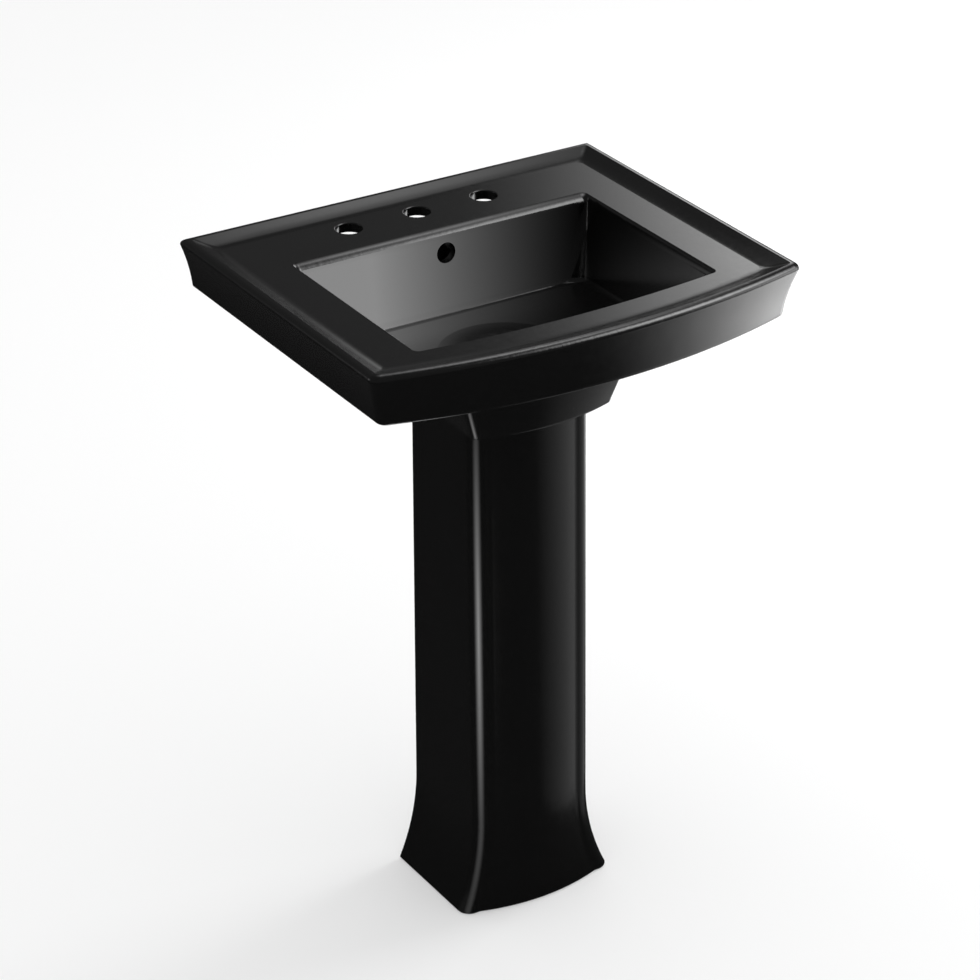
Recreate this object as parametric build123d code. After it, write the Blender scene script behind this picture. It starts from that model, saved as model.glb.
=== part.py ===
from build123d import *
import os
from math import atan2, cos, degrees, radians, sin, sqrt

# A pedestal sink of black vitreous china, with its push-button drain and its trap.
# Millimetres. +X to the right of a person at the sink, +Y towards the wall, +Z up.
# The origin is on the floor, under the middle of the sink's outline.

# Basin rim and apron
BASIN_WIDTH = 619.0
BASIN_DEPTH = 519.0
RIM_HEIGHT = 893.0
FRONT_BOW = 40.0
RIM_CORNER = 14.0
NOSE_WIDTH = 10.5
NOSE_HEIGHT = 7.0
NOSE_UNDERCUT = 15.0
APRON_DROP = 72.0
APRON_SIDE_INSET = 15.5
APRON_FRONT_INSET = 4.3
APRON_FRONT_BOW = 46.7
APRON_EDGE = 6.0
APRON_WALL = 12.0
COVE_HOLLOW = 0.65
COVE_STEPS = 4
REAR_ROLL_OVER = 0.2
REAR_TRIM = 6.0

# Raised bead round the deck
BEAD_HEIGHT = 9.5
BEAD_CREST = 10.5
BEAD_SIDE_FOOT = 38.0
BEAD_FRONT_FOOT = 46.0
DECK_FRONT_BOW = 28.5
DECK_CORNER = 6.0
DECK_THICKNESS = 12.6
BEAD_STEPS = 7
BEAD_SOFTNESS = 0.4

# Bowl
BOWL_HALF_WIDTH = 219.5
BOWL_BACK = 135.0
BOWL_FRONT = -182.0
BOWL_FRONT_BOW = 15.0
BOWL_OPENING_CORNER = 9.0
BOWL_WALL_CORNER = 5.0
LIP_SIDE_ROLL = 4.0
LIP_BACK_ROLL = 13.0
LIP_DEPTH = 12.0
BOWL_DEPTH = 113.5
BOWL_SIDE_SLOPE = 13.0
BOWL_BACK_SLOPE = 6.0
BOWL_FRONT_SLOPE = 44.0
BOWL_FLOOR_CORNER = 30.0
FLOOR_FILLET = 10.0
BOWL_WALL = 11.0
DISH_RADIUS = 94.0
DISH_DEPTH = 11.0
DISH_RIM_RISE = 0.55
DISH_RIM_FALL = 1.1
DISH_FLAT_SHARE = 0.55
DISH_EDGE_SHARE = 0.65

# Faucet, overflow and wall fixing holes
FAUCET_HOLE_R = 17.5
FAUCET_SPACING = 101.6
FAUCET_FROM_WALL = 66.0
HOLE_EDGE = 1.6
OVERFLOW_R = 13.5
OVERFLOW_BELOW_DECK = 31.0
DUCT_WIDTH = 32.0
DUCT_DEPTH = 12.0
DUCT_WALL = 8.0
CHAMBER_HEIGHT = 10.0
WALL_BOLT_SPACING = 406.4
WALL_BOLT_R = 5.5
WALL_BOLT_BELOW_RIM = 54.0
REAR_NOTCH_WIDTH = 360.0
REAR_RAIL_HEIGHT = 38.0

# Collar under the bowl, which takes the top of the pedestal
COLLAR_HEIGHT = 62.0
COLLAR_HALF_WIDTH = 104.0
COLLAR_BACK = 80.0
COLLAR_FRONT = -127.0
COLLAR_FRONT_BOW = 19.0
COLLAR_CORNER = 10.0
COLLAR_FLARE = 17.5
COLLAR_FRONT_FLARE = 10.0
COLLAR_EDGE = 5.0
COLLAR_WALL = 11.0
SEAT_ABOVE_COLLAR = 24.0
ROOF_ABOVE_COLLAR = 40.0

# Pedestal
PEDESTAL_HALF_WIDTH = 88.5
PEDESTAL_BACK = 63.0
EAR_FRONT_TOP = -83.0
EAR_FRONT_FLOOR = -99.5
EAR_WIDTH = 24.0
PEDESTAL_BOW = 15.0
PEDESTAL_CORNER = 18.0
EAR_KINK = 12.0
FLARE_HEIGHT = 132.0
FLARE_SIDE = 29.0
FLARE_FRONT = 6.0
FLARE_STEPS = 6
FOOT_EDGE = 3.0
PEDESTAL_WALL = 12.0
BACK_SLOT_WIDTH = 100.0
FOOT_WEB_DEPTH = 40.0
FOOT_WEB_THICKNESS = 14.0
FLOOR_BOLT_SPACING = 150.0
FLOOR_BOLT_R = 4.5

# Bedding pads between the pedestal and the basin
PAD_THICKNESS = 3.0
PAD_WIDTH = 10.0
PAD_LENGTH = 30.0
PAD_FRONT_Y = -50.0
PAD_REAR_Y = 35.0
LUG_MARGIN = 6.0

# Drain
DRAIN_Y = -20.0
DRAIN_HOLE_R = 22.25
DRAIN_BOSS_R = 40.0
FLANGE_R = 32.0
FLANGE_THICKNESS = 3.0
FLANGE_STEP = 1.0
FLANGE_RECESS_GAP = 1.0
GASKET_THICKNESS = 2.0
DRAIN_BODY_R = 20.5
DRAIN_BORE_R = 17.0
DRAIN_BODY_LENGTH = 74.0
WINDOW_WIDTH = 12.0
LOWER_GASKET_HEIGHT = 8.0
LOWER_GASKET_R = 30.0
FRICTION_WASHER_THICKNESS = 2.0
FRICTION_WASHER_R = 29.0
LOCKNUT_HEIGHT = 11.0
LOCKNUT_R = 31.0
THREAD_GAP = 0.1

# Push-button stopper
STOPPER_TRAVEL = 9.0
STOPPER_CLOSED_GAP = 0.3
CAP_R = 27.0
CAP_RIM = 2.5
CAP_CROWN = 4.5
CAP_HUB_R = 7.0
CAP_HUB_HEIGHT = 5.0
SEAL_INNER_R = 19.0
SEAL_OUTER_R = 23.5
SEAL_THICKNESS = 2.5
SEAL_GROOVE = 1.5
STEM_R = 4.0
STEM_SOCKET_DEPTH = 6.0
STEM_GAP = 0.06
STEM_COLLAR_R = 7.1
STEM_COLLAR_HEIGHT = 3.0
STEM_GUIDE_R = 2.8
CARTRIDGE_R = 9.0
CARTRIDGE_CHAMBER_R = 7.4
CARTRIDGE_LENGTH = 38.0
CARTRIDGE_NECK = 6.0
CARTRIDGE_FLOOR = 4.0
CARTRIDGE_TOP_BELOW_FLANGE = 16.0
SHOULDER_R = 12.0
SHOULDER_HEIGHT = 3.0
SHOULDER_BELOW_TOP = 9.0
SPIDER_RING_R = 12.5
SPIDER_HEIGHT = 6.0
SPIDER_ARM = 5.0
SPRING_R = 5.0
SPRING_WIRE_R = 0.6
SPRING_TURNS = 6
RUNNING_GAP = 0.3

# Tailpiece and trap
PIPE_R = 15.875
PIPE_BORE_R = 14.6
TAIL_COLLAR_LENGTH = 14.0
TAIL_FLANGE_R = 20.0
TAIL_FLANGE_THICKNESS = 3.0
TAIL_WASHER_THICKNESS = 2.0
TRAP_ARM_HEIGHT = 530.0
TRAP_ARM_END = 155.0
ELBOW_RADIUS = 34.0
BEND_RADIUS = 40.0
BEND_LEG = 10.0
SOCKET_LENGTH = 30.0
SOCKET_R = 20.5
SOCKET_GAP = 0.25
SLIP_NUT_R = 27.0
SLIP_NUT_HEIGHT = 22.0
SLIP_NUT_LIP = 4.0
SLIP_WASHER_HEIGHT = 4.0
NUT_BELOW_ELBOW = 6.0
PIPE_INSERT = 4.0
CLEANOUT_BOSS_R = 11.0
CLEANOUT_BOSS_DROP = 6.0
CLEANOUT_BORE_R = 8.5
CLEANOUT_HEAD_R = 12.0
CLEANOUT_HEAD_HEIGHT = 7.0
CLEANOUT_WASHER = 1.5

# Rounded edges: levels in a quarter turn, and the slope in degrees where a soft lip starts
ROLL_STEPS = 5
ROLL_START = 12.0

# Levels that follow from the sizes above
wall_y = BASIN_DEPTH / 2
deck_z = RIM_HEIGHT - BEAD_HEIGHT
deck_under_z = deck_z - DECK_THICKNESS
apron_z = RIM_HEIGHT - APRON_DROP
floor_z = deck_z - BOWL_DEPTH
drain_z = floor_z - DISH_DEPTH
collar_z = floor_z - COLLAR_HEIGHT
seat_z = collar_z + SEAT_ABOVE_COLLAR
roof_z = collar_z + ROOF_ABOVE_COLLAR
pedestal_top_z = seat_z - PAD_THICKNESS
flange_z = drain_z + FLANGE_STEP
cartridge_top_z = flange_z - CARTRIDGE_TOP_BELOW_FLANGE
faucet_y = wall_y - FAUCET_FROM_WALL

# Plan shapes are (half width, back, front at the middle, bow of the front, corner radius)
rim_shape = (BASIN_WIDTH / 2, wall_y, -wall_y, FRONT_BOW, RIM_CORNER)
apron_shape = (
    BASIN_WIDTH / 2 - APRON_SIDE_INSET,
    wall_y,
    -wall_y + APRON_FRONT_INSET,
    APRON_FRONT_BOW,
    RIM_CORNER,
)
deck_shape = (
    BASIN_WIDTH / 2 - BEAD_SIDE_FOOT,
    wall_y - BEAD_SIDE_FOOT,
    -wall_y + BEAD_FRONT_FOOT,
    DECK_FRONT_BOW,
    DECK_CORNER,
)
opening_shape = (BOWL_HALF_WIDTH, BOWL_BACK, BOWL_FRONT, BOWL_FRONT_BOW, BOWL_OPENING_CORNER)
bowl_wall_shape = (
    BOWL_HALF_WIDTH - LIP_SIDE_ROLL,
    BOWL_BACK - LIP_BACK_ROLL,
    BOWL_FRONT + LIP_SIDE_ROLL,
    BOWL_FRONT_BOW,
    BOWL_WALL_CORNER,
)
bowl_foot_shape = (
    bowl_wall_shape[0] - BOWL_SIDE_SLOPE,
    bowl_wall_shape[1] - BOWL_BACK_SLOPE,
    bowl_wall_shape[2] + BOWL_FRONT_SLOPE,
    BOWL_FRONT_BOW,
    BOWL_FLOOR_CORNER,
)
collar_shape = (COLLAR_HALF_WIDTH, COLLAR_BACK, COLLAR_FRONT, COLLAR_FRONT_BOW, COLLAR_CORNER)
collar_top_shape = (
    COLLAR_HALF_WIDTH + COLLAR_FLARE,
    COLLAR_BACK + COLLAR_FRONT_FLARE,
    COLLAR_FRONT - COLLAR_FRONT_FLARE,
    COLLAR_FRONT_BOW,
    COLLAR_CORNER,
)


def outline(z, shape):
    """A flat plan with a straight back, straight sides and a bowed front."""
    half, back, front, bow, corner = shape
    side_end = front + bow
    edges = [
        Line((-half, back), (-half, side_end)),
        ThreePointArc((-half, side_end), (0, front), (half, side_end)),
        Line((half, side_end), (half, back)),
        Line((half, back), (-half, back)),
    ]
    plan = make_face(edges)
    return Pos(0, 0, z) * fillet(plan.vertices(), corner)


def inset(shape, by, back_by=None):
    """The same plan drawn in by a distance, or let out where it is negative."""
    half, back, front, bow, corner = shape
    back_by = by if back_by is None else back_by
    new_half = half - by
    return (
        new_half,
        back - back_by,
        front + by,
        bow * (new_half / half) ** 2,
        max(corner - by, min(corner, DECK_CORNER)),
    )


def between(first, second, share):
    """A plan part of the way from one plan to another."""
    return tuple(a + (b - a) * share for a, b in zip(first, second))


def stack(levels):
    """One solid through plans at rising or falling levels."""
    return loft([outline(z, shape) for z, shape in levels])


def nose_shape(angle):
    """Level and outline on the rim's rolled nose, at an angle above its widest line."""
    turn = radians(angle)
    z = RIM_HEIGHT - NOSE_HEIGHT * (1 - sin(turn))
    return z, inset(rim_shape, NOSE_WIDTH * (1 - cos(turn)), 0)


def quarter(step, start=0.0):
    """Sine and cosine of an even step through a quarter turn, from a starting angle."""
    angle = radians(start + (90 - start) * step / (ROLL_STEPS - 1))
    return sin(angle), cos(angle)


def cove_shape(z):
    """The basin's outline on the hollow between the rim's nose and the apron's lower edge."""
    share = (cove_top_z - z) / (cove_top_z - apron_z)
    return between(cove_top_shape, apron_shape, share * (1 + COVE_HOLLOW - COVE_HOLLOW * share))


def prism(shape, low_z, high_z):
    """A straight block on a plan."""
    return extrude(outline(low_z, shape), high_z - low_z)


def block(low, high):
    """A box between two corners."""
    size = [b - a for a, b in zip(low, high)]
    middle = [(a + b) / 2 for a, b in zip(low, high)]
    return Pos(*middle) * Box(*size)


def tube(outer_r, inner_r, low_z, high_z):
    """A ring about the drain's axis."""
    ring = Circle(outer_r) - Circle(inner_r)
    return Pos(0, DRAIN_Y, low_z) * extrude(ring, high_z - low_z)


def rod(radius, low_z, high_z):
    """A round bar on the drain's axis."""
    return Pos(0, DRAIN_Y, low_z) * extrude(Circle(radius), high_z - low_z)


def turned(points):
    """A turned solid about the drain's axis, from (radius, height) points."""
    profile = make_face(Polyline(*[(r, 0, z) for r, z in points], close=True))
    return Pos(0, DRAIN_Y, 0) * revolve(profile, Axis.Z)


def save(shape, node):
    export_step(shape, f"parts/{node}.step")


os.makedirs("parts", exist_ok=True)
cove_top_z, cove_top_shape = nose_shape(-NOSE_UNDERCUT)


# Basin: outer body with its rolled nose, hollow apron and rounded lower edge
def past_wall(shape):
    """The same plan carried a little behind the wall face, which is cut flat later."""
    half, back, front, bow, corner = shape
    return half, back + RIM_CORNER + REAR_TRIM, front, bow, corner


def rear_trim():
    """The space behind the flat back, rolled over at the top."""
    nose_z = RIM_HEIGHT - NOSE_HEIGHT
    top_z = RIM_HEIGHT + BEAD_HEIGHT
    far_y = wall_y + 2 * (RIM_CORNER + REAR_TRIM)
    low_z = apron_z - APRON_EDGE
    roll_r = NOSE_HEIGHT + REAR_ROLL_OVER
    roll_y = wall_y - roll_r
    roll_z = nose_z + roll_r
    half_way = roll_r * sqrt(0.5)
    roll = ThreePointArc((0, wall_y, nose_z), (0, roll_y + half_way, nose_z + half_way), (0, roll_y, roll_z))
    over = Polyline((0, roll_y, roll_z), (0, roll_y, top_z), (0, far_y, top_z), (0, far_y, low_z))
    down = Polyline((0, far_y, low_z), (0, wall_y, low_z), (0, wall_y, nose_z))
    return extrude(make_face([roll, over, down]), BASIN_WIDTH, dir=(1, 0, 0), both=True)


def basin_outer():
    edge_z = apron_z + APRON_EDGE
    cove = []
    for step in range(COVE_STEPS):
        z = edge_z + (cove_top_z - edge_z) * step / (COVE_STEPS - 1)
        cove.append((z, past_wall(cove_shape(z))))
    nose = []
    edge = []
    for step in range(ROLL_STEPS):
        level = nose_shape(-NOSE_UNDERCUT + (90 + NOSE_UNDERCUT) * step / (ROLL_STEPS - 1))
        nose.append((level[0], past_wall(level[1])))
        rise, run = quarter(step)
        edge_shape = inset(past_wall(cove_shape(edge_z)), APRON_EDGE * (1 - run), 0)
        edge.append((edge_z - APRON_EDGE * rise, edge_shape))
    return stack(cove) + stack(nose) + stack(edge[::-1]) - rear_trim()


# The sunk deck inside the raised bead
def deck_pan():
    crest = inset(rim_shape, BEAD_CREST)
    levels = []
    for step in range(BEAD_STEPS):
        share = step / (BEAD_STEPS - 1)
        soft = share * share * (3 - 2 * share)
        hollow = 1 - (1 - share) ** 2
        fall = hollow + (soft - hollow) * BEAD_SOFTNESS
        levels.append((RIM_HEIGHT - BEAD_HEIGHT * fall, between(crest, deck_shape, share)))
    return stack(levels[::-1]) + prism(crest, RIM_HEIGHT, RIM_HEIGHT + BEAD_HEIGHT)


# The open underside behind the apron
def apron_hollow():
    low_shape = inset(cove_shape(apron_z), APRON_WALL)
    middle_z = (apron_z + deck_under_z) / 2
    levels = [(z, inset(cove_shape(z), APRON_WALL)) for z in (apron_z, middle_z, deck_under_z)]
    return stack(levels) + prism(low_shape, apron_z - APRON_EDGE, apron_z)


# The bowl's outside, from the deck down to the flat underside
def bowl_outside():
    top = inset(bowl_wall_shape, -BOWL_WALL)
    foot = inset(bowl_foot_shape, -BOWL_WALL)
    round_z = floor_z + FLOOR_FILLET
    fillet_r = FLOOR_FILLET + BOWL_WALL
    levels = []
    for step in range(ROLL_STEPS):
        rise, run = quarter(step)
        levels.append((round_z - fillet_r * rise, inset(foot, fillet_r * (1 - run))))
    return stack([(deck_z - BEAD_HEIGHT, top), (round_z, foot)]) + stack(levels)


# The space in the bowl: rolled lip, walls, rounded floor line and a dish to the drain
def bowl_spaces():
    lip = []
    floor_line = []
    round_z = floor_z + FLOOR_FILLET
    first_rise, first_run = quarter(0, ROLL_START)
    for step in range(ROLL_STEPS):
        rise, run = quarter(step, ROLL_START)
        lip_shape = between(opening_shape, bowl_wall_shape, (rise - first_rise) / (1 - first_rise))
        lip.append((deck_z - LIP_DEPTH * (1 - run / first_run), lip_shape))
        rise, run = quarter(step)
        floor_shape = inset(bowl_foot_shape, FLOOR_FILLET * (1 - run))
        floor_line.append((round_z - FLOOR_FILLET * rise, floor_shape))
    walls = stack([(round_z, bowl_foot_shape), (deck_z - LIP_DEPTH, bowl_wall_shape)])
    above = prism(opening_shape, deck_z, RIM_HEIGHT + BEAD_HEIGHT)
    mouth_z = floor_z + DISH_RIM_RISE
    fall = Bezier(
        (0, 0, drain_z),
        (DISH_FLAT_SHARE * DISH_RADIUS, 0, drain_z),
        (DISH_EDGE_SHARE * DISH_RADIUS, 0, floor_z - DISH_RIM_FALL),
        (DISH_RADIUS, 0, mouth_z),
    )
    lid_z = floor_z + FLOOR_FILLET / 2
    lid = Polyline((DISH_RADIUS, 0, mouth_z), (DISH_RADIUS, 0, lid_z), (0, 0, lid_z), (0, 0, drain_z))
    dish = Pos(0, DRAIN_Y, 0) * revolve(make_face([fall, lid]), Axis.Z)
    return stack(lip[::-1]) + above, walls, stack(floor_line[::-1]), dish


# A round hole's space, with a rounded mouth at the top and a straight way above it
def hole_space(radius, depth, above):
    edge_mid = HOLE_EDGE * (1 - sqrt(0.5))
    mouth_r = radius + HOLE_EDGE
    mouth = ThreePointArc((mouth_r, 0, 0), (radius + edge_mid, 0, -edge_mid), (radius, 0, -HOLE_EDGE))
    below = Polyline((radius, 0, -HOLE_EDGE), (radius, 0, -depth), (0, 0, -depth), (0, 0, above))
    over = Polyline((0, 0, above), (mouth_r, 0, above), (mouth_r, 0, 0))
    return revolve(make_face([mouth, below, over]), Axis.Z)


# The collar's outside and the space inside it
def collar_outside():
    top_z = floor_z - BOWL_WALL / 2
    edge_z = collar_z + COLLAR_EDGE
    edge = []
    for step in range(ROLL_STEPS):
        rise, run = quarter(step)
        edge.append((edge_z - COLLAR_EDGE * rise, inset(collar_shape, COLLAR_EDGE * (1 - run))))
    return stack([(edge_z, collar_shape), (top_z, collar_top_shape)]) + stack(edge)


def collar_space():
    roof_share = (roof_z - collar_z) / (floor_z - collar_z)
    low = inset(collar_shape, COLLAR_WALL)
    high = inset(between(collar_shape, collar_top_shape, roof_share), COLLAR_WALL)
    return stack([(collar_z, low), (roof_z, high)]) + prism(low, collar_z - COLLAR_EDGE, collar_z)


# The overflow's hollow back and the boss under the bowl that takes the drain
duct_half = DUCT_WIDTH / 2
duct_front_y = bowl_wall_shape[1] + BOWL_WALL
duct_back_y = duct_front_y + DUCT_DEPTH
overflow_z = deck_z - OVERFLOW_BELOW_DECK
chamber_low_z = seat_z + DUCT_WALL
chamber_high_z = chamber_low_z + CHAMBER_HEIGHT


def overflow_casing():
    half = duct_half + DUCT_WALL
    back_y = duct_back_y + DUCT_WALL
    upright = block((-half, bowl_wall_shape[1], seat_z), (half, back_y, deck_z - BEAD_HEIGHT))
    level = block((-half, DRAIN_Y, seat_z), (half, back_y, floor_z - BOWL_WALL / 2))
    boss = rod(DRAIN_BOSS_R, seat_z, floor_z - BOWL_WALL / 2)
    return upright + level + boss


def overflow_space():
    upright_top_z = overflow_z + OVERFLOW_R + HOLE_EDGE
    upright = block((-duct_half, duct_front_y, chamber_low_z), (duct_half, duct_back_y, upright_top_z))
    level = block((-duct_half, DRAIN_Y, chamber_low_z), (duct_half, duct_back_y, chamber_high_z))
    lean = BOWL_BACK_SLOPE / (deck_z - LIP_DEPTH - floor_z - FLOOR_FILLET)
    mouth_y = bowl_wall_shape[1] - lean * (deck_z - LIP_DEPTH - overflow_z)
    turn = Rot(X=90 - degrees(atan2(lean, 1)))
    mouth = hole_space(OVERFLOW_R, BOWL_WALL + DUCT_DEPTH, FLOOR_FILLET)
    return upright + level + Pos(0, mouth_y, overflow_z) * turn * mouth


# Lugs under the bowl that rest on the pads
pad_x = PEDESTAL_HALF_WIDTH - PEDESTAL_WALL / 2
pad_places = [(side * pad_x, y) for side in (-1, 1) for y in (PAD_FRONT_Y, PAD_REAR_Y)]


def seat_lugs():
    inner_x = PEDESTAL_HALF_WIDTH - PEDESTAL_WALL - LUG_MARGIN
    outer_x = COLLAR_HALF_WIDTH - COLLAR_WALL / 2
    half_length = PAD_LENGTH / 2 + LUG_MARGIN
    lugs = []
    for x, y in pad_places:
        side = 1 if x > 0 else -1
        low_x, high_x = sorted((side * inner_x, side * outer_x))
        high_corner = (high_x, y + half_length, floor_z - BOWL_WALL)
        lugs.append(block((low_x, y - half_length, seat_z), high_corner))
    return lugs


def drain_hole():
    recess_z = flange_z - FLANGE_THICKNESS - GASKET_THICKNESS
    recess = rod(FLANGE_R + FLANGE_RECESS_GAP, recess_z, floor_z)
    return rod(DRAIN_HOLE_R, seat_z - COLLAR_WALL, floor_z) + recess


def make_basin():
    basin = basin_outer() - deck_pan() - apron_hollow()
    basin += bowl_outside()
    basin += collar_outside()
    basin -= collar_space()
    basin += overflow_casing()
    for lug in seat_lugs():
        basin += lug
    for space in bowl_spaces():
        basin -= space
    basin -= overflow_space()
    basin -= drain_hole()
    for step in (-1, 0, 1):
        hole = hole_space(FAUCET_HOLE_R, DECK_THICKNESS + BEAD_HEIGHT, BEAD_HEIGHT)
        basin -= Pos(step * FAUCET_SPACING, faucet_y, deck_z) * hole
    notch_half = REAR_NOTCH_WIDTH / 2
    rail_z = RIM_HEIGHT - REAR_RAIL_HEIGHT
    notch_low = (-notch_half, wall_y - APRON_WALL - APRON_EDGE, apron_z - APRON_EDGE)
    basin -= block(notch_low, (notch_half, wall_y + APRON_EDGE, rail_z))
    bolt_z = RIM_HEIGHT - WALL_BOLT_BELOW_RIM
    for side in (-1, 1):
        bolt_hole = Rot(X=90) * Cylinder(WALL_BOLT_R, 4 * APRON_WALL)
        basin -= Pos(side * WALL_BOLT_SPACING / 2, wall_y, bolt_z) * bolt_hole
    return basin


# Pedestal: a leaning column with two flat ears and a bowed front, flared at the foot
def flare_share(z):
    arc_r = (FLARE_HEIGHT**2 + FLARE_SIDE**2) / (2 * FLARE_SIDE)
    height = max(FLARE_HEIGHT - z, 0)
    return (arc_r - sqrt(arc_r**2 - height**2)) / FLARE_SIDE


def column_sizes(z):
    """Half width and front of the ears at a height."""
    share = flare_share(z)
    half = PEDESTAL_HALF_WIDTH + FLARE_SIDE * share
    lean = EAR_FRONT_FLOOR + (EAR_FRONT_TOP - EAR_FRONT_FLOOR) * z / pedestal_top_z
    return half, lean - FLARE_FRONT * share


def column_outline(z, draw_in=0.0, level=None):
    half, ear = column_sizes(z)
    half -= draw_in
    ear += draw_in
    bow_half = half - EAR_WIDTH
    back = PEDESTAL_BACK - draw_in
    corner = PEDESTAL_CORNER - draw_in
    edges = [
        Polyline((-bow_half, ear), (-half, ear), (-half, back), (half, back), (half, ear), (bow_half, ear)),
        ThreePointArc((-bow_half, ear), (0, ear - PEDESTAL_BOW), (bow_half, ear)),
    ]
    plan = make_face(edges)
    front_ends = plan.vertices().filter_by(lambda v: abs(v.X) > half - THREAD_GAP and v.Y < 0)
    plan = fillet(front_ends, corner)
    kinks = plan.vertices().filter_by(lambda v: abs(abs(v.X) - bow_half) < THREAD_GAP)
    return Pos(0, 0, z if level is None else level) * fillet(kinks, EAR_KINK)


def column_hollow_shape(z):
    half, ear = column_sizes(z)
    front = ear - PEDESTAL_BOW + PEDESTAL_WALL
    back = PEDESTAL_BACK - PEDESTAL_WALL
    return half - PEDESTAL_WALL, back, front, PEDESTAL_BOW, PEDESTAL_CORNER


def make_pedestal():
    flare_rise = (FLARE_HEIGHT - FOOT_EDGE) / (FLARE_STEPS - 1)
    flare_levels = [FOOT_EDGE + flare_rise * step for step in range(FLARE_STEPS)]
    edge = []
    for step in range(ROLL_STEPS):
        rise, run = quarter(step)
        edge.append(column_outline(FOOT_EDGE, FOOT_EDGE * (1 - run), FOOT_EDGE * (1 - rise)))
    pedestal = loft([column_outline(z) for z in flare_levels])
    pedestal += loft(edge)
    pedestal += loft([column_outline(FLARE_HEIGHT), column_outline(pedestal_top_z)])
    foot_shape = column_hollow_shape(0)
    top_shape = column_hollow_shape(pedestal_top_z)
    hollow = stack([(z, column_hollow_shape(z)) for z in [0.0] + flare_levels[1:]])
    hollow += stack([(FLARE_HEIGHT, column_hollow_shape(FLARE_HEIGHT)), (pedestal_top_z, top_shape)])
    hollow += prism(top_shape, pedestal_top_z, pedestal_top_z + PEDESTAL_WALL)
    hollow += prism(foot_shape, -PEDESTAL_WALL, 0)
    pedestal -= hollow
    slot_half = BACK_SLOT_WIDTH / 2
    inner_back = PEDESTAL_BACK - PEDESTAL_WALL
    slot_low = (-slot_half, inner_back - PEDESTAL_WALL, -PEDESTAL_WALL)
    slot_high = (slot_half, PEDESTAL_BACK + PEDESTAL_WALL, pedestal_top_z + PEDESTAL_WALL)
    pedestal -= block(slot_low, slot_high)
    web_half = column_sizes(FOOT_WEB_THICKNESS)[0] - PEDESTAL_WALL / 2
    web_front = inner_back - FOOT_WEB_DEPTH
    pedestal += block((-web_half, web_front, 0), (web_half, PEDESTAL_BACK - FOOT_EDGE, FOOT_WEB_THICKNESS))
    for side in (-1, 1):
        hole = Cylinder(FLOOR_BOLT_R, 4 * FOOT_WEB_THICKNESS)
        pedestal -= Pos(side * FLOOR_BOLT_SPACING / 2, inner_back - FOOT_WEB_DEPTH / 2, 0) * hole
    return pedestal


# Soft pads that bed the basin on the pedestal's rim
def make_pads():
    pads = []
    for x, y in pad_places:
        pads.append(Pos(x, y, seat_z - PAD_THICKNESS / 2) * Box(PAD_WIDTH, PAD_LENGTH, PAD_THICKNESS))
    return Compound(pads)


# Drain body: flange, threaded tube with overflow windows, and a spider for the cartridge
flange_under_z = flange_z - FLANGE_THICKNESS
body_low_z = flange_z - DRAIN_BODY_LENGTH
shoulder_z = cartridge_top_z - SHOULDER_BELOW_TOP
spider_low_z = shoulder_z - SPIDER_HEIGHT


def make_drain_body():
    flange = tube(FLANGE_R, DRAIN_BORE_R, flange_under_z, flange_z)
    flange = fillet(flange.edges().group_by(Axis.Z)[-1], FLANGE_THICKNESS / 2)
    body = flange + tube(DRAIN_BODY_R, DRAIN_BORE_R, body_low_z, flange_under_z)
    reach = DRAIN_BODY_R + THREAD_GAP
    for turn in (0, 90):
        window = Box(WINDOW_WIDTH, 2 * reach, CHAMBER_HEIGHT - 2 * HOLE_EDGE)
        body -= Pos(0, DRAIN_Y, chamber_low_z + CHAMBER_HEIGHT / 2) * Rot(Z=turn) * window
    spider = tube(SPIDER_RING_R, CARTRIDGE_R + THREAD_GAP, spider_low_z, shoulder_z)
    arm_from = CARTRIDGE_R + 2 * THREAD_GAP
    arm_to = (DRAIN_BORE_R + DRAIN_BODY_R) / 2
    for turn in (90, 210, 330):
        arm = block((arm_from, -SPIDER_ARM / 2, spider_low_z), (arm_to, SPIDER_ARM / 2, shoulder_z))
        spider += Pos(0, DRAIN_Y, 0) * Rot(Z=turn) * arm
    return body + (spider - rod(CARTRIDGE_R + THREAD_GAP, spider_low_z, shoulder_z))


# Sealing rings and the nut that clamp the drain body in the basin
gasket_low_z = seat_z - LOWER_GASKET_HEIGHT
washer_low_z = gasket_low_z - FRICTION_WASHER_THICKNESS
locknut_low_z = washer_low_z - LOCKNUT_HEIGHT
thread_r = DRAIN_BODY_R + THREAD_GAP


def make_flange_gasket():
    return tube(FLANGE_R - FLANGE_RECESS_GAP, thread_r, flange_under_z - GASKET_THICKNESS, flange_under_z)


def make_lower_gasket():
    shoulder = LOWER_GASKET_R - LOWER_GASKET_HEIGHT / 2
    points = [
        (thread_r, gasket_low_z),
        (LOWER_GASKET_R, gasket_low_z),
        (LOWER_GASKET_R, seat_z - LOWER_GASKET_HEIGHT / 2),
        (shoulder, seat_z),
        (thread_r, seat_z),
    ]
    return turned(points)


def make_friction_washer():
    return tube(FRICTION_WASHER_R, thread_r, washer_low_z, gasket_low_z)


def hex_nut(radius, height):
    nut = extrude(RegularPolygon(radius, 6), height)
    chamfer_height = height / 8
    rounding = Cylinder(radius, height, align=(Align.CENTER, Align.CENTER, Align.MIN))
    rounding = chamfer(rounding.edges(), chamfer_height, chamfer_height)
    return nut & rounding


def make_locknut():
    nut = Pos(0, DRAIN_Y, locknut_low_z) * hex_nut(LOCKNUT_R, LOCKNUT_HEIGHT)
    return nut - rod(thread_r, locknut_low_z, washer_low_z)


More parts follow.
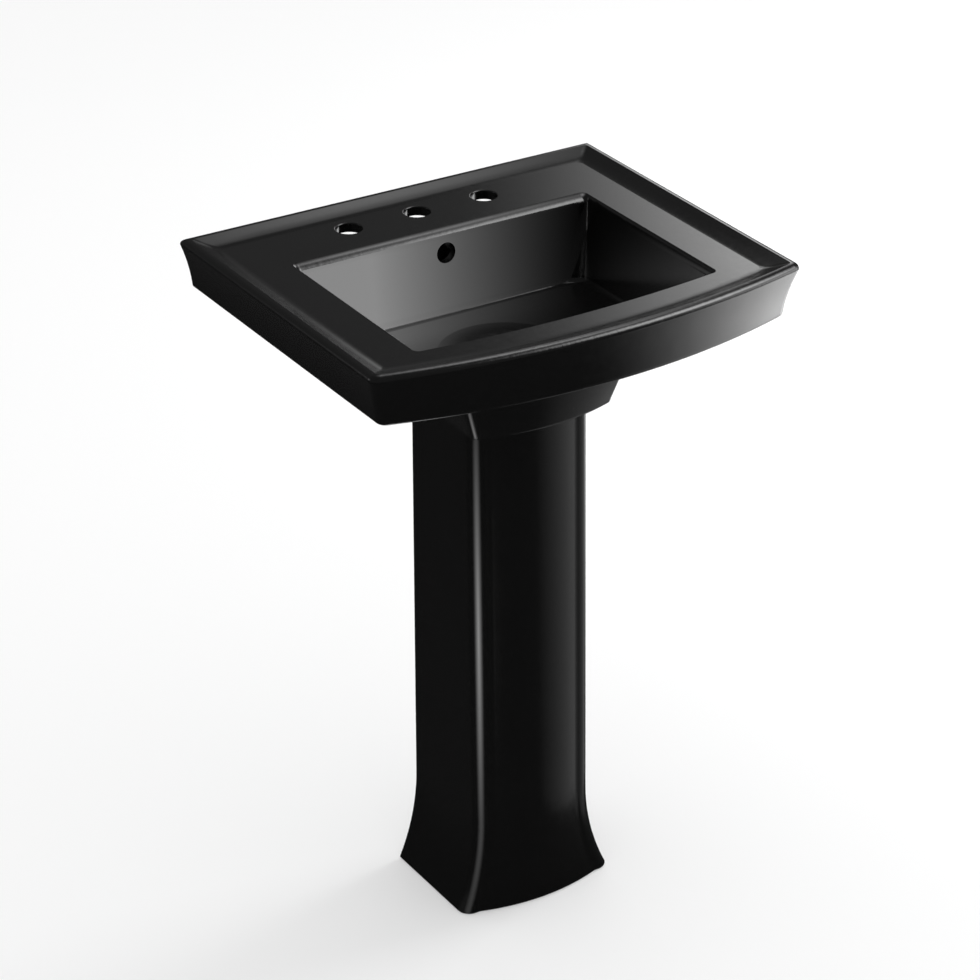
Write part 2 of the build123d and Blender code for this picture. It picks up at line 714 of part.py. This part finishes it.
# Push-button stopper, drawn open
cap_z = flange_z + STOPPER_CLOSED_GAP + STOPPER_TRAVEL + SEAL_THICKNESS - SEAL_GROOVE
hub_z = cap_z - CAP_HUB_HEIGHT
socket_top_z = hub_z + STEM_SOCKET_DEPTH
chamber_top_z = cartridge_top_z - CARTRIDGE_NECK
chamber_floor_z = cartridge_top_z - CARTRIDGE_LENGTH + CARTRIDGE_FLOOR
collar_top_z = chamber_top_z - RUNNING_GAP
collar_low_z = collar_top_z - STEM_COLLAR_HEIGHT


def make_stopper_cap():
    rim_z = cap_z + CAP_RIM
    crown_z = rim_z + CAP_CROWN
    crown_r = (CAP_R**2 + CAP_CROWN**2) / (2 * CAP_CROWN)
    half_x = CAP_R / 2
    half_z = crown_z - crown_r + sqrt(crown_r**2 - half_x**2)
    crown = ThreePointArc((CAP_R, 0, rim_z), (half_x, 0, half_z), (0, 0, crown_z))
    under = Polyline((0, 0, crown_z), (0, 0, hub_z), (CAP_HUB_R, 0, hub_z), (CAP_HUB_R, 0, cap_z))
    edge = Polyline((CAP_HUB_R, 0, cap_z), (CAP_R, 0, cap_z), (CAP_R, 0, rim_z))
    cap = Pos(0, DRAIN_Y, 0) * revolve(make_face([crown, under, edge]), Axis.Z)
    cap -= tube(SEAL_OUTER_R + THREAD_GAP, SEAL_INNER_R - THREAD_GAP, cap_z, cap_z + SEAL_GROOVE)
    return cap - rod(STEM_R + STEM_GAP, hub_z, socket_top_z)


def make_stopper_seal():
    seal_low_z = cap_z + SEAL_GROOVE - SEAL_THICKNESS
    return tube(SEAL_OUTER_R, SEAL_INNER_R, seal_low_z, cap_z + SEAL_GROOVE)


def make_stopper_stem():
    guide_low_z = chamber_floor_z + RUNNING_GAP
    stem = rod(STEM_R, collar_low_z, socket_top_z)
    stem += rod(STEM_COLLAR_R, collar_low_z, collar_top_z)
    return stem + rod(STEM_GUIDE_R, guide_low_z, collar_low_z)


def make_cartridge_housing():
    low_z = cartridge_top_z - CARTRIDGE_LENGTH
    housing = rod(CARTRIDGE_R, low_z, cartridge_top_z)
    housing += rod(SHOULDER_R, shoulder_z, shoulder_z + SHOULDER_HEIGHT)
    housing -= rod(CARTRIDGE_CHAMBER_R, chamber_floor_z, chamber_top_z)
    housing -= rod(STEM_R + STEM_GAP, chamber_top_z, cartridge_top_z)
    return housing - rod(STEM_GUIDE_R + RUNNING_GAP, low_z, chamber_floor_z)


def make_cartridge_spring():
    low_z = chamber_floor_z + SPRING_WIRE_R + THREAD_GAP
    high_z = collar_low_z - SPRING_WIRE_R - THREAD_GAP
    height = high_z - low_z
    coil = Helix(height / SPRING_TURNS, height, SPRING_R)
    wire = Plane(coil @ 0, z_dir=coil % 0) * Circle(SPRING_WIRE_R)
    return Pos(0, DRAIN_Y, low_z) * sweep(wire, coil, is_frenet=True)


# Tailpiece, screwed up into the drain body
tail_washer_z = body_low_z - TAIL_WASHER_THICKNESS
tail_flange_z = tail_washer_z - TAIL_FLANGE_THICKNESS
tail_r = DRAIN_BORE_R - THREAD_GAP

# Trap levels, from the height of the arm that goes to the wall
nut_top_z = TRAP_ARM_HEIGHT - ELBOW_RADIUS - NUT_BELOW_ELBOW
socket_end_z = nut_top_z - SLIP_NUT_LIP - SLIP_WASHER_HEIGHT
socket_low_z = socket_end_z - SOCKET_LENGTH
bend_z = socket_low_z - BEND_LEG
pipe_end_z = socket_low_z + PIPE_INSERT
outlet_y = DRAIN_Y + 2 * BEND_RADIUS
bend_y = DRAIN_Y + BEND_RADIUS
bend_low_z = bend_z - BEND_RADIUS - PIPE_R
boss_low_z = bend_low_z - CLEANOUT_BOSS_DROP
outlet = Pos(0, outlet_y - DRAIN_Y, 0)


def make_tail_washer():
    return tube(TAIL_FLANGE_R, tail_r + THREAD_GAP, tail_washer_z, body_low_z)


def make_tailpiece():
    tail = rod(PIPE_R, pipe_end_z, tail_flange_z)
    tail += rod(TAIL_FLANGE_R, tail_flange_z, tail_washer_z)
    tail += rod(tail_r, tail_washer_z, body_low_z + TAIL_COLLAR_LENGTH)
    return tail - rod(PIPE_BORE_R, pipe_end_z, body_low_z + TAIL_COLLAR_LENGTH)


def pipe_along(path, start, direction, radius):
    section = Plane(start, z_dir=direction) * Circle(radius)
    return sweep(section, path)


def make_trap_bend():
    start = (0, DRAIN_Y, socket_low_z)
    legs = [
        Line(start, (0, DRAIN_Y, bend_z)),
        ThreePointArc((0, DRAIN_Y, bend_z), (0, bend_y, bend_z - BEND_RADIUS), (0, outlet_y, bend_z)),
        Line((0, outlet_y, bend_z), (0, outlet_y, socket_low_z)),
    ]
    path = Wire(legs)
    socket_wall = SOCKET_R - PIPE_R
    socket = rod(SOCKET_R, socket_low_z - socket_wall, socket_end_z)
    bore = rod(PIPE_R + SOCKET_GAP, socket_low_z, socket_end_z)
    boss = Pos(0, bend_y, boss_low_z) * extrude(Circle(CLEANOUT_BOSS_R), BEND_RADIUS / 2)
    boss_bore = Pos(0, bend_y, boss_low_z) * extrude(Circle(CLEANOUT_BORE_R), BEND_RADIUS / 2)
    bend = pipe_along(path, start, (0, 0, -1), PIPE_R) + boss + socket + outlet * socket
    bend -= pipe_along(path, start, (0, 0, -1), PIPE_BORE_R)
    return bend - boss_bore - bore - outlet * bore


def slip_washer():
    return tube(SOCKET_R - THREAD_GAP, PIPE_R + THREAD_GAP, socket_end_z, socket_end_z + SLIP_WASHER_HEIGHT)


def slip_nut():
    low_z = nut_top_z - SLIP_NUT_HEIGHT
    nut = Pos(0, DRAIN_Y, low_z) * hex_nut(SLIP_NUT_R, SLIP_NUT_HEIGHT)
    nut -= rod(SOCKET_R + THREAD_GAP, low_z, nut_top_z - SLIP_NUT_LIP)
    return nut - rod(PIPE_R + SOCKET_GAP, low_z, nut_top_z)


def make_trap_arm():
    start = (0, outlet_y, pipe_end_z)
    turn_z = TRAP_ARM_HEIGHT - ELBOW_RADIUS
    turn_y = outlet_y + ELBOW_RADIUS
    part_way = ELBOW_RADIUS * (1 - sqrt(0.5))
    legs = [
        Line(start, (0, outlet_y, turn_z)),
        ThreePointArc(
            (0, outlet_y, turn_z),
            (0, outlet_y + part_way, TRAP_ARM_HEIGHT - part_way),
            (0, turn_y, TRAP_ARM_HEIGHT),
        ),
        Line((0, turn_y, TRAP_ARM_HEIGHT), (0, TRAP_ARM_END, TRAP_ARM_HEIGHT)),
    ]
    path = Wire(legs)
    return pipe_along(path, start, (0, 0, 1), PIPE_R) - pipe_along(path, start, (0, 0, 1), PIPE_BORE_R)


# Clean-out plug under the trap's bend
def make_cleanout_washer():
    ring = Circle(CLEANOUT_HEAD_R - HOLE_EDGE) - Circle(CLEANOUT_BORE_R)
    return Pos(0, bend_y, boss_low_z - CLEANOUT_WASHER) * extrude(ring, CLEANOUT_WASHER)


def make_cleanout_plug():
    head_top_z = boss_low_z - CLEANOUT_WASHER
    head = hex_nut(CLEANOUT_HEAD_R, CLEANOUT_HEAD_HEIGHT)
    head = Pos(0, bend_y, head_top_z - CLEANOUT_HEAD_HEIGHT) * head
    screw_length = CLEANOUT_WASHER + CLEANOUT_BOSS_DROP
    screw = Pos(0, bend_y, head_top_z) * extrude(Circle(CLEANOUT_BORE_R - THREAD_GAP), screw_length)
    return head + screw


save(make_basin(), "basin")
save(make_pedestal(), "pedestal")
save(make_pads(), "bedding_pads")
save(make_drain_body(), "drain_body")
save(make_flange_gasket(), "flange_gasket")
save(make_lower_gasket(), "lower_gasket")
save(make_friction_washer(), "friction_washer")
save(make_locknut(), "drain_locknut")
save(make_stopper_cap(), "stopper_cap")
save(make_stopper_seal(), "stopper_seal")
save(make_stopper_stem(), "stopper_stem")
save(make_cartridge_housing(), "cartridge_housing")
save(make_cartridge_spring(), "cartridge_spring")
save(make_tail_washer(), "tailpiece_washer")
save(make_tailpiece(), "tailpiece")
save(slip_nut(), "trap_inlet_nut")
save(slip_washer(), "trap_inlet_washer")
save(make_trap_bend(), "trap_bend")
save(outlet * slip_nut(), "trap_union_nut")
save(outlet * slip_washer(), "trap_union_washer")
save(make_trap_arm(), "trap_arm")
save(make_cleanout_washer(), "cleanout_washer")
save(make_cleanout_plug(), "cleanout_plug")
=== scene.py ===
from math import radians

import bpy
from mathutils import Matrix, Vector


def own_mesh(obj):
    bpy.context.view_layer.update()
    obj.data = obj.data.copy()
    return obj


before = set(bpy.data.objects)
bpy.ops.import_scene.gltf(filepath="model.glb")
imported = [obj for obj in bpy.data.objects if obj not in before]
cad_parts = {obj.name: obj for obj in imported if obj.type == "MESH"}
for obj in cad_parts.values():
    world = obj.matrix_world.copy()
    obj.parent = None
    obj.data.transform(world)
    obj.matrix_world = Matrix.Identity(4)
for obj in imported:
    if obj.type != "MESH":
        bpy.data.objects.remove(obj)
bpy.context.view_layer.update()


# Pedestal: a hollow column of vitreous china, slip-cast in a plaster mould and open at the back.
# It is dipped in black glaze and fired, which leaves every face smooth and glossy.
def linear(hex_colour):
    """An sRGB hex colour as linear red, green, blue and alpha."""
    levels = [int(hex_colour[i : i + 2], 16) / 255 for i in (1, 3, 5)]
    return [v / 12.92 if v <= 0.04045 else ((v + 0.055) / 1.055) ** 2.4 for v in levels] + [1.0]


def add(tree, kind, inputs, **settings):
    """One shader node with its settings. An input takes a value, or a link from a socket."""
    node = tree.nodes.new(kind)
    for name, value in settings.items():
        setattr(node, name, value)
    for name, value in inputs.items():
        if isinstance(value, bpy.types.NodeSocket):
            tree.links.new(value, node.inputs[name])
        else:
            node.inputs[name].default_value = value
    return node


def start_material(name):
    """An empty material and the Object coordinates that its patterns follow, in metres."""
    material = bpy.data.materials.new(name)
    material.use_nodes = True
    material.node_tree.nodes.clear()
    place = add(material.node_tree, "ShaderNodeTexCoord", {})
    return material, material.node_tree, place.outputs["Object"]


def per_metre(size_mm):
    """The texture scale that makes a pattern's cells about this many millimetres wide."""
    return 1000 / size_mm


def finish_nodes(names, material):
    """Give the pieces their material."""
    for name in names:
        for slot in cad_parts[name].material_slots:
            slot.material = material


# Glazed vitreous china: black glass over a black body, so nearly all that shows is reflection.
# Glaze sags a little as it melts, which leaves broad shallow waves and a fine orange peel.
GLAZE_WAVE_MM = 90
GLAZE_PEEL_MM = 7
PEEL_SHARE_OF_RELIEF = 0.12
GLAZE_RELIEF_M = 0.0004


def glazed_china():
    material, tree, place = start_material("glazed_vitreous_china")
    waves = add(
        tree, "ShaderNodeTexNoise", {"Vector": place, "Scale": per_metre(GLAZE_WAVE_MM), "Detail": 1.0}
    )
    peel = add(
        tree, "ShaderNodeTexNoise", {"Vector": place, "Scale": per_metre(GLAZE_PEEL_MM), "Detail": 2.0}
    )
    depth = add(
        tree, "ShaderNodeMath", {0: peel.outputs["Fac"], 1: PEEL_SHARE_OF_RELIEF}, operation="MULTIPLY"
    )
    height = add(tree, "ShaderNodeMath", {0: waves.outputs["Fac"], 1: depth.outputs[0]}, operation="ADD")
    bump = add(
        tree,
        "ShaderNodeBump",
        {"Height": height.outputs[0], "Strength": 0.25, "Distance": GLAZE_RELIEF_M},
    )
    tint = add(
        tree,
        "ShaderNodeMix",
        {"Factor": waves.outputs["Fac"], 6: linear("#0B0B0B"), 7: linear("#0E0E0E")},
        data_type="RGBA",
    )
    rough = add(
        tree,
        "ShaderNodeMapRange",
        {"Value": peel.outputs["Fac"], "From Min": 0.3, "From Max": 0.7, "To Min": 0.13, "To Max": 0.19},
    )
    shader = add(
        tree,
        "ShaderNodeBsdfPrincipled",
        {
            "Base Color": tint.outputs[2],
            "Roughness": rough.outputs["Result"],
            "IOR": 1.52,
            "Normal": bump.outputs["Normal"],
        },
    )
    add(tree, "ShaderNodeOutputMaterial", {"Surface": shader.outputs["BSDF"]})
    return material


china = glazed_china()
finish_nodes(["pedestal"], china)


# Bedding pads: four soft pads on the column's rim that keep china from grinding on china.
# They are moulded in grey rubber, with a dull skin and a fine grain from the mould.
def moulded_rubber(name, colour, worn_colour):
    material, tree, place = start_material(name)
    grain = add(tree, "ShaderNodeTexNoise", {"Vector": place, "Scale": per_metre(0.8), "Detail": 3.0})
    bloom = add(tree, "ShaderNodeTexNoise", {"Vector": place, "Scale": per_metre(12), "Detail": 4.0})
    tint = add(
        tree,
        "ShaderNodeMix",
        {"Factor": bloom.outputs["Fac"], 6: linear(colour), 7: linear(worn_colour)},
        data_type="RGBA",
    )
    bump = add(
        tree, "ShaderNodeBump", {"Height": grain.outputs["Fac"], "Strength": 0.3, "Distance": 0.0001}
    )
    shader = add(
        tree,
        "ShaderNodeBsdfPrincipled",
        {
            "Base Color": tint.outputs[2],
            "Roughness": 0.7,
            "IOR": 1.5,
            "Normal": bump.outputs["Normal"],
        },
    )
    add(tree, "ShaderNodeOutputMaterial", {"Surface": shader.outputs["BSDF"]})
    return material


finish_nodes(["bedding_pads"], moulded_rubber("moulded_grey_rubber", "#8E8E8B", "#9C9C98"))


# Basin: the same black china in one casting, with a raised bead round the deck, a hollow apron,
# a rectangular bowl with its overflow, and a collar underneath that drops over the column.
finish_nodes(["basin"], china)


# Drain body: a brass tube with a rolled flange, screwed down through the basin from inside.
# It is turned, polished and chrome plated, which leaves a mirror with very faint polishing lines.
def chrome_plate():
    material, tree, place = start_material("polished_chrome_on_brass")
    haze = add(tree, "ShaderNodeTexNoise", {"Vector": place, "Scale": per_metre(14), "Detail": 3.0})
    lines = add(tree, "ShaderNodeTexNoise", {"Vector": place, "Scale": per_metre(0.6), "Detail": 2.0})
    rough = add(
        tree,
        "ShaderNodeMapRange",
        {"Value": haze.outputs["Fac"], "From Min": 0.3, "From Max": 0.7, "To Min": 0.05, "To Max": 0.11},
    )
    bump = add(
        tree, "ShaderNodeBump", {"Height": lines.outputs["Fac"], "Strength": 0.03, "Distance": 0.00005}
    )
    shader = add(
        tree,
        "ShaderNodeBsdfPrincipled",
        {
            "Base Color": linear("#D3D6D9"),
            "Metallic": 1.0,
            "Roughness": rough.outputs["Result"],
            "Normal": bump.outputs["Normal"],
        },
    )
    add(tree, "ShaderNodeOutputMaterial", {"Surface": shader.outputs["BSDF"]})
    return material


chrome = chrome_plate()
finish_nodes(["drain_body"], chrome)


# Drain seals: a flat ring under the flange and a tapered ring under the basin, both of black rubber.
# They are moulded, and squeezed tight by the nut below.
black_rubber = moulded_rubber("moulded_black_rubber", "#1C1C1D", "#2A2A2A")
finish_nodes(["flange_gasket", "lower_gasket"], black_rubber)


# Friction washer: a slippery moulded acetal ring, so that the nut turns without dragging the seal.
# Acetal is a waxy white plastic with a soft shine.
def moulded_acetal():
    material, tree, place = start_material("moulded_white_acetal")
    skin = add(tree, "ShaderNodeTexNoise", {"Vector": place, "Scale": per_metre(1.5), "Detail": 2.0})
    rough = add(
        tree,
        "ShaderNodeMapRange",
        {"Value": skin.outputs["Fac"], "From Min": 0.3, "From Max": 0.7, "To Min": 0.32, "To Max": 0.45},
    )
    bump = add(
        tree, "ShaderNodeBump", {"Height": skin.outputs["Fac"], "Strength": 0.1, "Distance": 0.0001}
    )
    shader = add(
        tree,
        "ShaderNodeBsdfPrincipled",
        {
            "Base Color": linear("#E9E8E1"),
            "Roughness": rough.outputs["Result"],
            "IOR": 1.48,
            "Normal": bump.outputs["Normal"],
        },
    )
    add(tree, "ShaderNodeOutputMaterial", {"Surface": shader.outputs["BSDF"]})
    return material


acetal = moulded_acetal()
finish_nodes(["friction_washer"], acetal)


# Drain locknut: a sand-cast brass hexagon that clamps the drain body against the basin.
# The casting skin is left as it is, dull and slightly grainy, and browned by handling.
def bare_brass(name, colour, brown, roughness, grain_mm, relief_mm):
    material, tree, place = start_material(name)
    grain = add(tree, "ShaderNodeTexNoise", {"Vector": place, "Scale": per_metre(grain_mm), "Detail": 4.0})
    stain = add(tree, "ShaderNodeTexNoise", {"Vector": place, "Scale": per_metre(18), "Detail": 5.0})
    tint = add(
        tree,
        "ShaderNodeMix",
        {"Factor": stain.outputs["Fac"], 6: linear(colour), 7: linear(brown)},
        data_type="RGBA",
    )
    bump = add(
        tree,
        "ShaderNodeBump",
        {"Height": grain.outputs["Fac"], "Strength": 0.4, "Distance": relief_mm / 1000},
    )
    shader = add(
        tree,
        "ShaderNodeBsdfPrincipled",
        {
            "Base Color": tint.outputs[2],
            "Metallic": 1.0,
            "Roughness": roughness,
            "Normal": bump.outputs["Normal"],
        },
    )
    add(tree, "ShaderNodeOutputMaterial", {"Surface": shader.outputs["BSDF"]})
    return material


cast_brass = bare_brass("sand_cast_brass", "#C9A35A", "#8F6C35", 0.42, 1.2, 0.2)
finish_nodes(["drain_locknut"], cast_brass)


# Stopper cartridge: a moulded acetal barrel that drops into the drain body's spider.
# It holds the coil of drawn spring wire that pushes the stopper open, and that shortens by the
# stopper's travel when the cap is pressed.
finish_nodes(["cartridge_housing"], acetal)


def spring_wire():
    material, tree, place = start_material("drawn_spring_steel")
    drawn = add(tree, "ShaderNodeTexNoise", {"Vector": place, "Scale": per_metre(0.5), "Detail": 2.0})
    rough = add(
        tree,
        "ShaderNodeMapRange",
        {"Value": drawn.outputs["Fac"], "From Min": 0.3, "From Max": 0.7, "To Min": 0.22, "To Max": 0.36},
    )
    shader = add(
        tree,
        "ShaderNodeBsdfPrincipled",
        {"Base Color": linear("#B7B9BB"), "Metallic": 1.0, "Roughness": rough.outputs["Result"]},
    )
    add(tree, "ShaderNodeOutputMaterial", {"Surface": shader.outputs["BSDF"]})
    return material


finish_nodes(["cartridge_spring"], spring_wire())
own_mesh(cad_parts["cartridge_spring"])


# Stopper: a domed chrome cap with a rubber seal in its underside, on a turned brass stem.
# Pressing the cap slides the stem down against the spring until the seal meets the flange.
finish_nodes(["stopper_cap"], chrome)
finish_nodes(["stopper_seal"], black_rubber)
turned_brass = bare_brass("turned_brass", "#D8B46A", "#B98F47", 0.24, 0.5, 0.05)
finish_nodes(["stopper_stem"], turned_brass)


# Tailpiece and trap: drawn brass tube, bent and chrome plated, joined by slip nuts that squeeze
# rubber rings against the tube. An acetal ring seals the tailpiece in the drain, and the arm runs
# back towards the wall behind the column.
finish_nodes(["tailpiece", "trap_bend", "trap_arm"], chrome)
finish_nodes(["trap_inlet_nut", "trap_union_nut", "cleanout_plug"], chrome)
finish_nodes(["tailpiece_washer"], acetal)
finish_nodes(["trap_inlet_washer", "trap_union_washer", "cleanout_washer"], black_rubber)


# Studio floor: a plain pale sheet, wide enough to fill the view behind the sink.
FLOOR_HALF_M = 30.0
FLOOR_DROP_M = 0.0002
bpy.ops.object.select_all(action="DESELECT")
bpy.ops.mesh.primitive_plane_add(size=2 * FLOOR_HALF_M, location=(0, 0, -FLOOR_DROP_M))
floor = bpy.context.object
floor.name = "studio_floor"
paper, paper_tree, paper_place = start_material("matt_white_paper")
paper_shader = add(paper_tree, "ShaderNodeBsdfDiffuse", {"Color": linear("#FAFAFA")})
add(paper_tree, "ShaderNodeOutputMaterial", {"Surface": paper_shader.outputs["BSDF"]})
floor.data.materials.append(paper)


# Reflection cards: glossy black china shows only what stands round it, so a dark drape closes the
# studio off and soft-edged cards stand in it. They are seen in reflections alone.
def reflections_only(card):
    card.visible_camera = False
    card.visible_diffuse = False
    card.visible_transmission = False
    card.visible_volume_scatter = False
    card.visible_shadow = False


def drape(name, colour, strength):
    material, tree, place = start_material(name)
    glow = add(tree, "ShaderNodeEmission", {"Color": linear(colour), "Strength": strength})
    add(tree, "ShaderNodeOutputMaterial", {"Surface": glow.outputs["Emission"]})
    return material


DRAPE_RADIUS_M = 5.0
DRAPE_GLOW = 0.12
FLOOR_CLOTH_GLOW = 0.03
DRAPE_ABOVE_FLOOR_M = 0.002
bpy.ops.mesh.primitive_uv_sphere_add(segments=48, ring_count=24, radius=DRAPE_RADIUS_M)
dome = bpy.context.object
dome.name = "dark_drape"
reflections_only(dome)
dome.data.materials.append(drape("dark_drape_cloth", "#FFFFFF", DRAPE_GLOW))
bpy.ops.mesh.primitive_circle_add(
    vertices=64, radius=DRAPE_RADIUS_M, fill_type="NGON", location=(0, 0, DRAPE_ABOVE_FLOOR_M)
)
mat_cloth = bpy.context.object
mat_cloth.name = "dark_floor_cloth"
reflections_only(mat_cloth)
mat_cloth.data.materials.append(drape("dark_floor_cloth", "#FFFFFF", FLOOR_CLOTH_GLOW))


def soft_card(name, centre, aim, half_width, half_height, strength):
    """A glowing card whose light falls off to nothing at its edge."""
    material, tree, place = start_material(name)
    fall = add(tree, "ShaderNodeTexGradient", {"Vector": place}, gradient_type="QUADRATIC_SPHERE")
    glow = add(tree, "ShaderNodeEmission", {"Strength": strength})
    clear = add(tree, "ShaderNodeBsdfTransparent", {})
    mix = add(
        tree,
        "ShaderNodeMixShader",
        {0: fall.outputs["Fac"], 1: clear.outputs["BSDF"], 2: glow.outputs["Emission"]},
    )
    add(tree, "ShaderNodeOutputMaterial", {"Surface": mix.outputs["Shader"]})
    bpy.ops.mesh.primitive_plane_add(size=2, location=centre)
    card = bpy.context.object
    card.name = name
    card.scale = (half_width, half_height, 1)
    card.rotation_mode = "QUATERNION"
    card.rotation_quaternion = (Vector(aim) - Vector(centre)).to_track_quat("Z", "Y")
    card.data.materials.append(material)
    reflections_only(card)


# Each card's centre, the point it faces, its half width and half height in metres, and its strength.
CARD_ABOVE_FLOOR_M = 0.01
soft_card("card_behind_right", (2.25, 2.2, 2.06), (1.99, 1.24, 1.6), 0.85, 1.6, 4.3)
soft_card("card_right", (2.1, -1.0, 1.1), (0.2, -0.2, 0.9), 1.6, 1.4, 6.0)
soft_card("card_floor_right", (1.8, -0.4, CARD_ABOVE_FLOOR_M), (1.8, -0.4, 1.0), 1.5, 1.5, 8.0)
soft_card("card_overhead", (0.5, 0.34, 1.96), (0.0, 0.2, 0.88), 0.7, 0.7, 4.0)
soft_card("card_over_bowl", (0.55, -0.5, 1.45), (0.0, 0.12, 0.87), 0.5, 0.5, 8.0)
soft_card("card_beside_column", (-0.175, -0.175, 0.34), (-0.08, -0.09, 0.34), 0.11, 0.5, 6.0)
soft_card("card_high_right", (1.7, -0.9, 2.5), (0.2, -0.24, 0.89), 1.5, 1.5, 10.0)
soft_card("card_left_back", (-2.5, 1.5, 1.5), (0.0, 0.0, 0.8), 1.2, 1.2, 1.5)


# Column flag: a dim upright sheet that keeps the floor card out of the column's right side.
# It is paler towards the back, so that the column brightens towards its right edge.
FLAG_CENTRE = (0.22, -0.2, 0.33)
FLAG_FACING = (-0.8, 0.6, 0.0)
FLAG_WIDTH_M = 0.4
FLAG_HEIGHT_M = 0.66
FLAG_PALE_GLOW = 0.6
FLAG_DIM_GLOW = 0.03
bpy.ops.mesh.primitive_plane_add(size=1, location=FLAG_CENTRE)
flag = bpy.context.object
flag.name = "column_flag"
flag.scale = (FLAG_WIDTH_M, FLAG_HEIGHT_M, 1)
flag.rotation_mode = "QUATERNION"
flag.rotation_quaternion = Vector(FLAG_FACING).to_track_quat("Z", "Y")
reflections_only(flag)
flag_cloth, flag_tree, flag_place = start_material("dim_flag_cloth")
across = add(flag_tree, "ShaderNodeSeparateXYZ", {"Vector": flag_place})
shade = add(
    flag_tree,
    "ShaderNodeMapRange",
    {
        "Value": across.outputs["X"],
        "From Min": -0.4,
        "From Max": 0.4,
        "To Min": FLAG_PALE_GLOW,
        "To Max": FLAG_DIM_GLOW,
    },
)
flag_glow = add(flag_tree, "ShaderNodeEmission", {"Strength": shade.outputs["Result"]})
add(flag_tree, "ShaderNodeOutputMaterial", {"Surface": flag_glow.outputs["Emission"]})
flag.data.materials.append(flag_cloth)


# Bowl card: a sheet hung close before the bowl's back wall, which shows in that wall and the floor.
# It dims towards the right, and its front glows only low down, where the bowl's floor shows it.
BOWL_CARD_CENTRE = (0.0, 0.112, 0.825)
BOWL_CARD_WIDTH_M = 0.42
BOWL_CARD_HEIGHT_M = 0.12
WALL_SIDE_GLOW = 5.4
FLOOR_SIDE_GLOW = 1.1
DIMMING_POWER = 2.2
bpy.ops.mesh.primitive_plane_add(size=1, location=BOWL_CARD_CENTRE, rotation=(radians(90), 0, 0))
bowl_card = bpy.context.object
bowl_card.name = "card_in_bowl"
bowl_card.scale = (BOWL_CARD_WIDTH_M, BOWL_CARD_HEIGHT_M, 1)
reflections_only(bowl_card)
bowl_cloth, bowl_tree, bowl_place = start_material("card_in_bowl")
spot = add(bowl_tree, "ShaderNodeSeparateXYZ", {"Vector": bowl_place})
dim = add(
    bowl_tree,
    "ShaderNodeMapRange",
    {"Value": spot.outputs["X"], "From Min": -0.25, "From Max": 0.58, "To Min": 1.0, "To Max": 0.0},
)
dim = add(bowl_tree, "ShaderNodeMath", {0: dim.outputs["Result"], 1: DIMMING_POWER}, operation="POWER")
low = add(
    bowl_tree,
    "ShaderNodeMapRange",
    {
        "Value": spot.outputs["Y"],
        "From Min": -0.3,
        "From Max": 0.45,
        "To Min": FLOOR_SIDE_GLOW,
        "To Max": 0.0,
    },
)
side = add(bowl_tree, "ShaderNodeNewGeometry", {})
glow_level = add(
    bowl_tree,
    "ShaderNodeMix",
    {"Factor": side.outputs["Backfacing"], 2: low.outputs["Result"], 3: WALL_SIDE_GLOW},
)
glow_level = add(
    bowl_tree, "ShaderNodeMath", {0: glow_level.outputs[0], 1: dim.outputs[0]}, operation="MULTIPLY"
)
bowl_glow = add(bowl_tree, "ShaderNodeEmission", {"Strength": glow_level.outputs[0]})
add(bowl_tree, "ShaderNodeOutputMaterial", {"Surface": bowl_glow.outputs["Emission"]})
bowl_card.data.materials.append(bowl_cloth)


# Side lamp: a broad soft lamp far to the right, for the foot's shadow on the floor.
FOOT_LAMP_PLACE = (3.4, 0.3, 1.3)
FOOT_LAMP_SIDE_M = 1.5
FOOT_LAMP_WATTS = 45.0
bpy.ops.object.light_add(type="AREA", location=FOOT_LAMP_PLACE)
foot_lamp = bpy.context.object
foot_lamp.name = "foot_lamp"
foot_lamp.rotation_mode = "QUATERNION"
foot_lamp.rotation_quaternion = Vector(FOOT_LAMP_PLACE).to_track_quat("Z", "Y")
foot_lamp.data.size = FOOT_LAMP_SIDE_M
foot_lamp.data.energy = FOOT_LAMP_WATTS
foot_lamp.visible_camera = False
foot_lamp.visible_glossy = False


# Soft daylight from above, even all over the floor. It casts no shadow, and the side lamp does.
bpy.ops.object.light_add(type="SUN", rotation=(radians(-25), radians(38), 0))
key = bpy.context.object
key.name = "soft_key_light"
key.data.energy = 1.5
key.data.angle = radians(60)
key.data.use_shadow = False
key.visible_glossy = False


# Surroundings: an even white wall of light. The view and mirror-like pieces see it as plain white.
world = bpy.data.worlds.new("white_surroundings")
bpy.context.scene.world = world
world.use_nodes = True
world.node_tree.nodes.clear()
sky = world.node_tree
path = add(sky, "ShaderNodeLightPath", {})
seen = add(
    sky,
    "ShaderNodeMath",
    {0: path.outputs["Is Camera Ray"], 1: path.outputs["Is Glossy Ray"]},
    operation="MAXIMUM",
)
seen = add(
    sky,
    "ShaderNodeMath",
    {0: seen.outputs[0], 1: path.outputs["Is Transmission Ray"]},
    operation="MAXIMUM",
)
LIGHTING_LEVEL = 0.6
SEEN_LEVEL = 0.95
level = add(
    sky,
    "ShaderNodeMapRange",
    {"Value": seen.outputs[0], "To Min": LIGHTING_LEVEL, "To Max": SEEN_LEVEL},
)
light = add(
    sky, "ShaderNodeBackground", {"Color": linear("#FFFFFF"), "Strength": level.outputs["Result"]}
)
add(sky, "ShaderNodeOutputWorld", {"Surface": light.outputs["Background"]})


# Camera: high and to the left of the sink, looking down at it through a long lens.
CAMERA_PLACE = (-2.09045, -3.30852, 2.62118)
CAMERA_TURN = (radians(62.267), 0, radians(-32.157))
LENS_MM = 125.7
SENSOR_MM = 36
bpy.ops.object.camera_add(location=CAMERA_PLACE, rotation=CAMERA_TURN)
camera = bpy.context.object
camera.data.lens = LENS_MM
camera.data.sensor_width = SENSOR_MM
bpy.context.scene.camera = camera
bpy.context.scene.view_settings.view_transform = "Standard"
